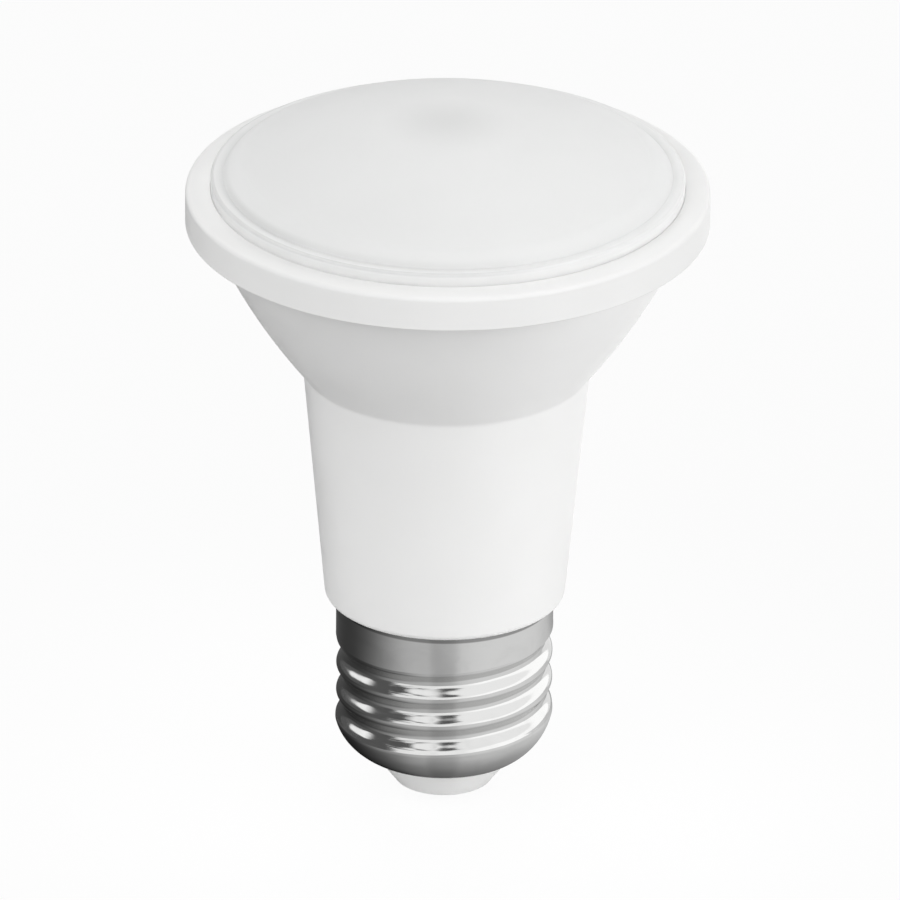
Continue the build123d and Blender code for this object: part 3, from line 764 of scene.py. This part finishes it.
def thread_tree():
    """Geometry nodes for the rolled shell: a grid wrapped round the axis at the thread's own radius."""
    lengths = ["Thread Radius", "Thread Depth", "Pitch", "End Top", "End Edge", "Collar Edge", "Blend"]
    lengths += ["Collar Radius", "Mouth Height", "Top Height"]
    lengths += ["End Centre Radius", "End Centre Height", "End Radius"]
    group, tree, given, result = geometry_group("rolled_shell", lengths, ["Columns", "Rows"], ["Finish"])
    do = tree.math
    mouth, pitch, collar = given["Mouth Height"], given["Pitch"], given["Collar Radius"]

    # Angle and height of each point
    counts = {"Vertices X": given["Columns"], "Vertices Y": given["Rows"]}
    grid = tree.add("GeometryNodeMeshGrid", {"Size X": 1.0, "Size Y": 1.0, **counts})
    x, y, _ = tree.axes(tree.add("GeometryNodeInputPosition").outputs[0])
    bearing = do("MULTIPLY", do("ADD", x, 0.5), 2 * pi)
    share = do("ADD", y, 0.5)
    height = do("ADD", mouth, do("MULTIPLY", share, do("SUBTRACT", given["Top Height"], mouth)))

    # Thread: a circle that is carried round a small helix without turning
    turns = do("DIVIDE", do("SUBTRACT", height, given["End Edge"]), pitch)
    phase = do("SUBTRACT", do("ADD", bearing, pi / 2), do("MULTIPLY", turns, 2 * pi))
    offset = do("MULTIPLY", given["Thread Depth"], 0.5)
    middle = do("SUBTRACT", given["Thread Radius"], offset)
    across = do("MULTIPLY", offset, do("SINE", phase))
    chord = do("SQRT", do("SUBTRACT", do("MULTIPLY", middle, middle), do("MULTIPLY", across, across)))
    thread = do("ADD", do("MULTIPLY", offset, do("COSINE", phase)), chord)

    # Collar and lower land, closed on the thread along planes that tilt with it, with 45 degree run-outs
    lead = do("DIVIDE", pitch, do("MULTIPLY", middle, 2 * pi))
    slant = do("MULTIPLY", do("MULTIPLY", do("COSINE", bearing), collar), lead)
    over_collar = do("SUBTRACT", height, do("ADD", given["Collar Edge"], slant))
    under_end = do("SUBTRACT", do("ADD", given["End Edge"], slant), height)
    sunk = do("MINIMUM", do("MAXIMUM", over_collar, under_end), 0.0)
    threaded = do("SMOOTH_MAX", thread, do("ADD", collar, sunk), given["Blend"])

    # Rounded end: an arc, with its upper edge tilted as the land is
    end_top = do("ADD", given["End Top"], slant)
    rise = do("DIVIDE", do("SUBTRACT", height, mouth), do("SUBTRACT", end_top, mouth))
    evened = do("ADD", mouth, do("MULTIPLY", rise, do("SUBTRACT", given["End Top"], mouth)))
    drop = do("SUBTRACT", evened, given["End Centre Height"])
    squares = [do("MULTIPLY", side, side) for side in (given["End Radius"], drop)]
    depth = do("MAXIMUM", do("SUBTRACT", *squares), 0.0)
    end = do("ADD", given["End Centre Radius"], do("SQRT", depth))

    upper = do("GREATER_THAN", height, end_top)
    lower = do("SUBTRACT", 1.0, upper)
    radius = do("ADD", do("MULTIPLY", threaded, upper), do("MULTIPLY", end, lower))
    flat = [do("MULTIPLY", radius, do(ratio, bearing)) for ratio in ("COSINE", "SINE")]
    place = {"Geometry": grid.outputs["Mesh"], "Position": tree.vector(*flat, height)}
    moved = tree.add("GeometryNodeSetPosition", place)
    joined = tree.add("GeometryNodeMergeByDistance", {"Geometry": moved.outputs[0], "Distance": TINY})
    smooth = tree.add("GeometryNodeSetShadeSmooth", {"Geometry": joined.outputs[0]})
    real = tree.add("GeometryNodeRealizeInstances", {"Geometry": smooth.outputs[0]})
    coat = {"Geometry": real.outputs[0], "Material": given["Finish"]}
    tree.put(result, tree.add("GeometryNodeSetMaterial", coat).outputs[0])
    return group


class LAMP_OT_screw_shell(bpy.types.Operator):
    """Makes the plated screw shell with its rolled thread"""

    bl_idname = "lamp.screw_shell"
    bl_label = "Screw Shell"

    def execute(self, context):
        sizes, finishes = context.scene.lamp_cap, context.scene.lamp_finishes
        collar, mouth, top = SHELL_HIGH.x, SHELL_LOW.z, SHELL_HIGH.z
        end_edge = sizes.thread_low + sizes.end_land
        end_top = end_edge - sizes.end_lip
        centre, bend = arc((sizes.mouth_radius, mouth), (collar, end_top), sizes.end_bow)
        values = {
            "Thread Radius": sizes.major_radius,
            "Thread Depth": sizes.thread_depth,
            "Pitch": sizes.pitch,
            "End Top": end_top,
            "End Edge": end_edge,
            "Collar Edge": end_edge + sizes.grooves * sizes.pitch,
            "Blend": sizes.blend,
            "Collar Radius": collar,
            "Mouth Height": mouth,
            "Top Height": top,
            "End Centre Radius": centre[0],
            "End Centre Height": centre[1],
            "End Radius": bend,
            "Columns": sizes.columns,
            "Rows": sizes.rows,
            "Finish": nickel_finish(finishes.nickel, top),
        }
        piece = grown("screw_shell_rolled", thread_tree(), values, sizes.wall)
        dress(piece, "nickel_plate", "screw_shell")
        return {"FINISHED"}


class LAMP_OT_cap_end(bpy.types.Operator):
    """Makes the insulator nose and the centre contact"""

    bl_idname = "lamp.cap_end"
    bl_label = "Cap End"

    def execute(self, context):
        sizes, finishes = context.scene.lamp_cap, context.scene.lamp_finishes
        low, high, reach, mouth = NOSE_LOW.z, NOSE_HIGH.z, NOSE_HIGH.x, SHELL_LOW.z
        bore = sizes.shank_radius + sizes.shank_gap
        inner = sizes.mouth_radius - sizes.wall
        outline = [
            (bore, low),
            (sizes.nose_radius, low),
            (inner - sizes.nose_gap, mouth),
            (inner - sizes.flange_gap, mouth + sizes.wall + sizes.flange_gap),
            (reach, high - sizes.flange_height),
            (reach, high),
            (bore, high),
        ]
        bm = bmesh.new()
        turned(bm, supported(rounded(outline, {1: sizes.nose_round})), columns=128)
        white = plastic_finish("cap_white_plastic", finishes.plastic, finishes.plastic_shade, 0.36, 0.05)
        dress(finish_mesh(bm, "insulator_nose", white), "cap_plastic", "cap_insulator")
        outline = [
            (0.0, CONTACT_LOW.z),
            (CONTACT_HIGH.x, CONTACT_LOW.z),
            (CONTACT_HIGH.x, low),
            (sizes.shank_radius, low),
            (sizes.shank_radius, CONTACT_HIGH.z),
            (0.0, CONTACT_HIGH.z),
        ]
        bm = bmesh.new()
        turned(bm, supported(rounded(outline, {1: sizes.contact_round})), columns=96)
        metal = metal_finish(
            "plated_contact", finishes.contact, 0.28, 0.08, ring=900.0, run=900.0, dull=0.75
        )
        dress(finish_mesh(bm, "contact_button", metal), "contact_metal", "centre_contact")
        return {"FINISHED"}


def diode_tree():
    """Geometry nodes for the ring of diodes: a framed package with a sunk window, set round a circle."""
    lengths = ["Ring Radius", "Ring Height", "Length", "Width", "Height", "Margin", "Depth"]
    group, tree, given, result = geometry_group("diode_ring", lengths, ["Count"], ["Package", "Window"])
    do = tree.math

    # Package, standing on its lower face
    size = tree.vector(given["Length"], given["Width"], given["Height"])
    cube = tree.add("GeometryNodeMeshCube", {"Size": size})
    middle = tree.vector(z=do("MULTIPLY", given["Height"], 0.5))
    stand = {"Geometry": cube.outputs["Mesh"], "Translation": middle}
    stood = tree.add("GeometryNodeTransform", stand)

    # Its top face is drawn in to leave the margin, and then pushed down
    upper = do("GREATER_THAN", tree.axes(tree.add("GeometryNodeInputNormal").outputs[0])[2], 0.5)
    x, y, z = tree.axes(tree.add("GeometryNodeInputPosition").outputs[0])
    top = {"Mesh": stood.outputs[0], "Selection": upper, "Offset Scale": 0.0}
    framed = tree.add("GeometryNodeExtrudeMesh", top)
    border = do("MULTIPLY", given["Margin"], 2.0)
    shares = [do("SUBTRACT", 1.0, do("DIVIDE", border, given[side])) for side in ("Length", "Width")]
    inner = tree.vector(do("MULTIPLY", x, shares[0]), do("MULTIPLY", y, shares[1]), z)
    drawn_in = {"Geometry": framed.outputs["Mesh"], "Selection": framed.outputs["Top"], "Position": inner}
    opened = tree.add("GeometryNodeSetPosition", drawn_in)
    down = do("MULTIPLY", given["Depth"], -1.0)
    pushed = {"Mesh": opened.outputs[0], "Selection": framed.outputs["Top"], "Offset Scale": down}
    sunk = tree.add("GeometryNodeExtrudeMesh", pushed)

    # One package on each point of a circle, with its length along the circle
    points = {"Vertices": given["Count"], "Radius": given["Ring Radius"]}
    circle = tree.add("GeometryNodeMeshCircle", points)
    lift = tree.vector(z=given["Ring Height"])
    half_step = tree.vector(z=do("DIVIDE", pi, given["Count"]))
    place = {"Geometry": circle.outputs[0], "Translation": lift, "Rotation": half_step}
    ring = tree.add("GeometryNodeTransform", place)
    aim = tree.vector(z=do("ADD", do("ARCTAN2", y, x), pi / 2))
    spread = {"Points": ring.outputs[0], "Instance": sunk.outputs["Mesh"], "Rotation": aim}
    copies = tree.add("GeometryNodeInstanceOnPoints", spread)
    real = tree.add("GeometryNodeRealizeInstances", {"Geometry": copies.outputs[0]})
    coat = {"Geometry": real.outputs[0], "Material": given["Package"]}
    coated = tree.add("GeometryNodeSetMaterial", coat)
    window = {"Geometry": coated.outputs[0], "Selection": sunk.outputs["Top"], "Material": given["Window"]}
    tree.put(result, tree.add("GeometryNodeSetMaterial", window).outputs[0])
    return group


class LAMP_OT_diodes(bpy.types.Operator):
    """Makes the ring of diodes on the light board"""

    bl_idname = "lamp.diodes"
    bl_label = "Diodes"

    def execute(self, context):
        sizes, finishes = context.scene.lamp_lens, context.scene.lamp_finishes
        white = plastic_finish("diode_package", (0.8, 0.8, 0.78), (0.74, 0.74, 0.72), 0.3, 0.05)
        yellow = tuple(finishes.phosphor)
        window = plastic_finish("diode_phosphor", yellow, tuple(c * 0.85 for c in yellow), 0.35, 0.06)
        values = {
            "Ring Radius": sizes.diode_ring,
            "Ring Height": BOARD_TOP,
            "Length": sizes.diode_length,
            "Width": sizes.diode_width,
            "Height": sizes.diode_height,
            "Margin": sizes.window_margin,
            "Depth": sizes.window_depth,
            "Count": sizes.diode_count,
            "Package": white,
            "Window": window,
        }
        piece = grown("diode_ring", diode_tree(), values)
        dress(piece, "led_package", *(f"led_{i + 1:02d}" for i in range(sizes.diode_count)))
        return {"FINISHED"}


class LAMP_OT_inside(bpy.types.Operator):
    """Gives the pieces inside the lamp their finishes"""

    bl_idname = "lamp.inside"
    bl_label = "Inside"

    def execute(self, context):
        finishes = context.scene.lamp_finishes
        black = plastic_finish("component_black", (0.02, 0.02, 0.022), (0.012, 0.012, 0.013), 0.5, 0.08)
        sleeve = plastic_finish("can_sleeve", (0.02, 0.02, 0.03), (0.015, 0.015, 0.025), 0.28, 0.05)
        bobbin = plastic_finish("bobbin_plastic", (0.03, 0.03, 0.03), (0.02, 0.02, 0.02), 0.45, 0.06)
        lacquer = plastic_finish("resistor_lacquer", (0.18, 0.28, 0.23), (0.14, 0.22, 0.18), 0.3, 0.06)
        mask = plastic_finish("white_board_mask", finishes.board_mask, (0.8, 0.8, 0.78), 0.4, 0.06)
        green = plastic_finish("green_board_mask", finishes.circuit, (0.015, 0.11, 0.04), 0.35, 0.06)
        grey, soot = (0.05, 0.05, 0.055), (0.03, 0.03, 0.033)
        ferrite = plastic_finish("dark_ferrite", grey, soot, 0.6, 0.1, grain=5000.0, relief=0.02 * MM)
        spun = metal_finish("spun_aluminium", finishes.aluminium, 0.3, 0.08, ring=3200.0, run=40.0)
        copper = metal_finish("enamelled_copper", (0.5, 0.2, 0.07), 0.32, 0.08, ring=4000.0, run=90.0)
        tinned = metal_finish("tinned_wire", (0.6, 0.6, 0.59), 0.3, 0.08, ring=1500.0, run=1500.0)
        coats = {
            "heat_sink": spun,
            "led_board": mask,
            "driver_board": green,
            "input_capacitor": sleeve,
            "output_capacitor": sleeve,
            "line_choke": black,
            "transformer_foot": bobbin,
            "transformer_core": ferrite,
            "transformer_winding": copper,
            "bridge_rectifier": black,
            "driver_chip": black,
            "output_diode": black,
            "fuse_resistor": lacquer,
            "live_lead": tinned,
            "neutral_lead": tinned,
            "led_lead_negative": tinned,
            "led_lead_positive": tinned,
        }
        for name, coat in coats.items():
            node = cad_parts[name]
            if not node.material_slots:
                node.data.materials.append(coat)
            for slot in node.material_slots:
                slot.material = coat
        return {"FINISHED"}


# Stage


def floor_finish():
    """White floor that keeps the lamp's shadow; metal sees it bright on the right, dark on the left."""
    pale_span = (20 * MM, 90 * MM)
    under_span = (4 * MM, 27 * MM)
    near_span = (15 * MM, 45 * MM)
    strip_span = (55 * MM, 80 * MM)
    material, tree, shader = new_material("white_sweep")
    shader.inputs["Roughness"].default_value = 0.9
    path = tree.add("ShaderNodeLightPath").outputs
    way = tree.axes(tree.add("ShaderNodeTexCoord").outputs["Object"])
    reach = level(tree, way)
    # Palest close to the lamp, where it lights the lamp from below
    pale = tree.ramp(reach, *pale_span, 1.0, 0.0)
    tree.put(shader.inputs["Base Color"], tree.mix(pale, (0.5, 0.5, 0.5), (0.92, 0.92, 0.92)))
    # Tone for metal: less in front, behind, under the lamp and near its left, with a strip behind; the dip
    # in front is painted shade of the camera, and the dimming under the lamp and near its left is painted
    # shadow of the lamp
    side = beside(tree, way, reach, BRIGHT_SIDE)
    front = beside(tree, way, reach, 0.0)
    lit = tree.math("ADD", tree.ramp(side, -1.1, 0.0, 0.04, 0.62), tree.ramp(side, 0.2, 1.0, 0.0, 0.3))
    ahead = tree.ramp(front, 0.96, 0.995, 1.0, 0.82)
    behind = tree.ramp(front, -1.0, -0.6, 0.55, 1.0)
    under = tree.ramp(reach, *under_span, 0.2, 1.0)
    near = tree.times(tree.ramp(reach, *near_span, 0.55, 0.0), tree.ramp(side, -0.5, 0.2, 1.0, 0.0))
    mirror = tree.times(lit, ahead, behind, under, tree.math("SUBTRACT", 1.0, near))
    strip = tree.times(tree.ramp(front, -0.75, -0.45, 1.3, 0.0), tree.ramp(side, -0.5, 0.0))
    mirror = tree.math("MAXIMUM", mirror, tree.times(strip, tree.ramp(reach, *strip_span)))
    # White to the camera, apart from a share that shows the shadow, and clear from below
    seen = tree.math("MAXIMUM", path["Is Camera Ray"], path["Is Transmission Ray"])
    tone = tree.math("MAXIMUM", seen, tree.times(path["Is Glossy Ray"], mirror))
    glow = tree.add("ShaderNodeEmission", {"Color": tree.mix(tone, (0.0, 0.0, 0.0), (1.0, 1.0, 1.0))})
    share = tree.math("MAXIMUM", tree.times(seen, 0.94), path["Is Glossy Ray"])
    blend = tree.add("ShaderNodeMixShader", {0: share, 1: shader.outputs[0], 2: glow.outputs[0]})
    below = tree.add("ShaderNodeNewGeometry").outputs["Backfacing"]
    clear = tree.add("ShaderNodeBsdfTransparent")
    blend = tree.add("ShaderNodeMixShader", {0: below, 1: blend.outputs[0], 2: clear.outputs[0]})
    tree.put(material.node_tree.nodes["Material Output"].inputs["Surface"], blend.outputs[0])
    return material


def studio_world(ambient):
    """Even light, white to the camera; metal sees a bright side, a window, a horizon and a dark camera."""
    streak_scale = (3.0, 3.0, 11.0)
    # Azimuths of the window, of the rise of its lower edge and of the brightest horizon
    window_side, window_rise, right_side = -116.0, -40.0, 100.0
    camera_elevation = 37.0
    world = bpy.data.worlds.new("studio_world")
    world.use_nodes = True
    tree = Tree(world.node_tree)
    sky = world.node_tree.nodes["Background"]
    path = tree.add("ShaderNodeLightPath").outputs
    way = tree.axes(tree.add("ShaderNodeTexCoord").outputs["Generated"])
    reach = level(tree, way)
    stretched = tree.vector(*(tree.times(axis, scale) for axis, scale in zip(way, streak_scale)))
    streak = tree.ramp(tree.noise(stretched, scale=1.0, detail=3.0), 0.3, 0.7, -1.0, 1.0)

    def streaked(value, amount):
        """Value with the streaks added."""
        return tree.math("ADD", value, tree.times(streak, amount))

    side = beside(tree, way, reach, BRIGHT_SIDE)
    bright = tree.ramp(streaked(side, 0.42), -0.6, 0.05, 0.12, 1.2)
    # Window at the left and behind, over a lower edge that rises towards the front
    away = streaked(beside(tree, way, reach, window_side), 0.03)
    slope = beside(tree, way, reach, window_rise)
    over = streaked(tree.math("SUBTRACT", way[2], tree.times(slope, 0.3)), 0.03)
    window = tree.times(tree.ramp(over, 0.14, 0.22, 0.0, 1.3), tree.ramp(away, 0.82, 0.985))
    # Horizon, from the left of the front round the right to the back
    start = tree.ramp(streaked(side, 0.1), -0.7, -0.45)
    right = beside(tree, way, reach, right_side)
    gain = tree.ramp(right, -0.1, 0.5, 1.1, 1.45)
    horizon = tree.times(tree.ramp(way[2], 0.32, 0.55, 1.0, 0.0), start, gain)
    mirror = tree.math("MAXIMUM", bright, tree.math("MAXIMUM", window, horizon))
    camera = streaked(facing(tree, way, 0.0, camera_elevation), 0.01)
    mirror = tree.times(mirror, tree.ramp(camera, 0.97, 0.995, 1.0, 0.1))
    # Camera rays see white, glossy rays the studio, and the rest the even light
    seen = tree.math("MAXIMUM", path["Is Camera Ray"], path["Is Transmission Ray"])
    dark = tree.math("SUBTRACT", 1.0, seen)
    plain = tree.times(tree.math("SUBTRACT", 1.0, path["Is Glossy Ray"]), ambient)
    rest = tree.math("ADD", tree.times(path["Is Glossy Ray"], mirror), plain)
    sky.inputs["Color"].default_value = (1.0, 1.0, 1.0, 1.0)
    tree.put(sky.inputs["Strength"], tree.math("ADD", seen, tree.times(dark, rest)))
    bpy.context.scene.world = world


def soft_light(stage, name, azimuth, elevation, watts):
    """Square light that faces the lamp from an azimuth and an elevation in degrees."""
    data = bpy.data.lights.new(name, "AREA")
    data.size = stage.light_size
    data.energy = watts
    light = bpy.data.objects.new(name, data)
    back = heading(radians(azimuth), radians(elevation))
    light.location = Vector((0.0, 0.0, stage.light_aim)) + back * stage.light_distance
    light.rotation_mode = "QUATERNION"
    light.rotation_quaternion = (-back).to_track_quat("-Z", "Y")
    light.visible_glossy = False
    bpy.context.scene.collection.objects.link(light)


class LAMP_OT_stage(bpy.types.Operator):
    """Sets up the floor, the light and the camera"""

    bl_idname = "lamp.stage"
    bl_label = "Stage"

    def execute(self, context):
        stage = context.scene.lamp_stage
        bm = bmesh.new()
        made = bmesh.ops.create_circle(bm, cap_ends=True, segments=96, radius=stage.floor_radius)["verts"]
        bmesh.ops.translate(bm, verts=made, vec=(0.0, 0.0, CAD_LOW.z - stage.floor_drop))
        floor = finish_mesh(bm, "floor", floor_finish())
        studio_world(stage.ambient)
        soft_light(stage, "key", azimuth=70.0, elevation=8.0, watts=stage.key_power)
        soft_light(stage, "fill", azimuth=-48.0, elevation=37.0, watts=stage.fill_power)
        soft_light(stage, "front", azimuth=0.0, elevation=45.0, watts=stage.front_power)
        soft_light(stage, "back", azimuth=180.0, elevation=45.0, watts=stage.back_power)
        data = bpy.data.cameras.new("camera")
        data.lens, data.sensor_width = stage.lens, stage.sensor
        camera = bpy.data.objects.new("camera", data)
        back = heading(0.0, stage.elevation)
        camera.location = Vector(stage.aim) + back * stage.distance
        camera.rotation_mode = "QUATERNION"
        roll = Quaternion((0.0, 0.0, 1.0), stage.roll)
        camera.rotation_quaternion = (-back).to_track_quat("-Z", "Y") @ roll
        context.scene.collection.objects.link(camera)
        context.scene.camera = camera
        context.scene.view_settings.view_transform = "Standard"
        return {"FINISHED"}


OPERATORS = (
    LAMP_OT_lens,
    LAMP_OT_rim_ring,
    LAMP_OT_housing,
    LAMP_OT_screw_shell,
    LAMP_OT_cap_end,
    LAMP_OT_diodes,
    LAMP_OT_inside,
    LAMP_OT_stage,
)
GROUPS = {
    "lamp_cap": CapSizes,
    "lamp_housing": HousingSizes,
    "lamp_lens": LensSizes,
    "lamp_finishes": LampFinishes,
    "lamp_stage": StageSettings,
}


class LAMP_PT_panel(bpy.types.Panel):
    """Lists the lamp's pieces"""

    bl_idname = "LAMP_PT_panel"
    bl_label = "Reflector Lamp"
    bl_space_type = "VIEW_3D"
    bl_region_type = "UI"
    bl_category = "Lamp"

    def draw(self, context):
        for operator in OPERATORS:
            self.layout.operator(operator.bl_idname)


def register():
    for group in GROUPS.values():
        bpy.utils.register_class(group)
    for name, group in GROUPS.items():
        setattr(bpy.types.Scene, name, bpy.props.PointerProperty(type=group))
    for item in (*OPERATORS, LAMP_PT_panel):
        bpy.utils.register_class(item)


def unregister():
    for item in (LAMP_PT_panel, *reversed(OPERATORS)):
        bpy.utils.unregister_class(item)
    for name, group in reversed(GROUPS.items()):
        delattr(bpy.types.Scene, name)
        bpy.utils.unregister_class(group)


def main():
    """Makes the whole lamp and its stage."""
    register()
    bpy.ops.lamp.lens()
    bpy.ops.lamp.rim_ring()
    bpy.ops.lamp.housing()
    bpy.ops.lamp.screw_shell()
    bpy.ops.lamp.cap_end()
    bpy.ops.lamp.diodes()
    bpy.ops.lamp.inside()
    bpy.ops.lamp.stage()


if __name__ == "__main__":
    main()
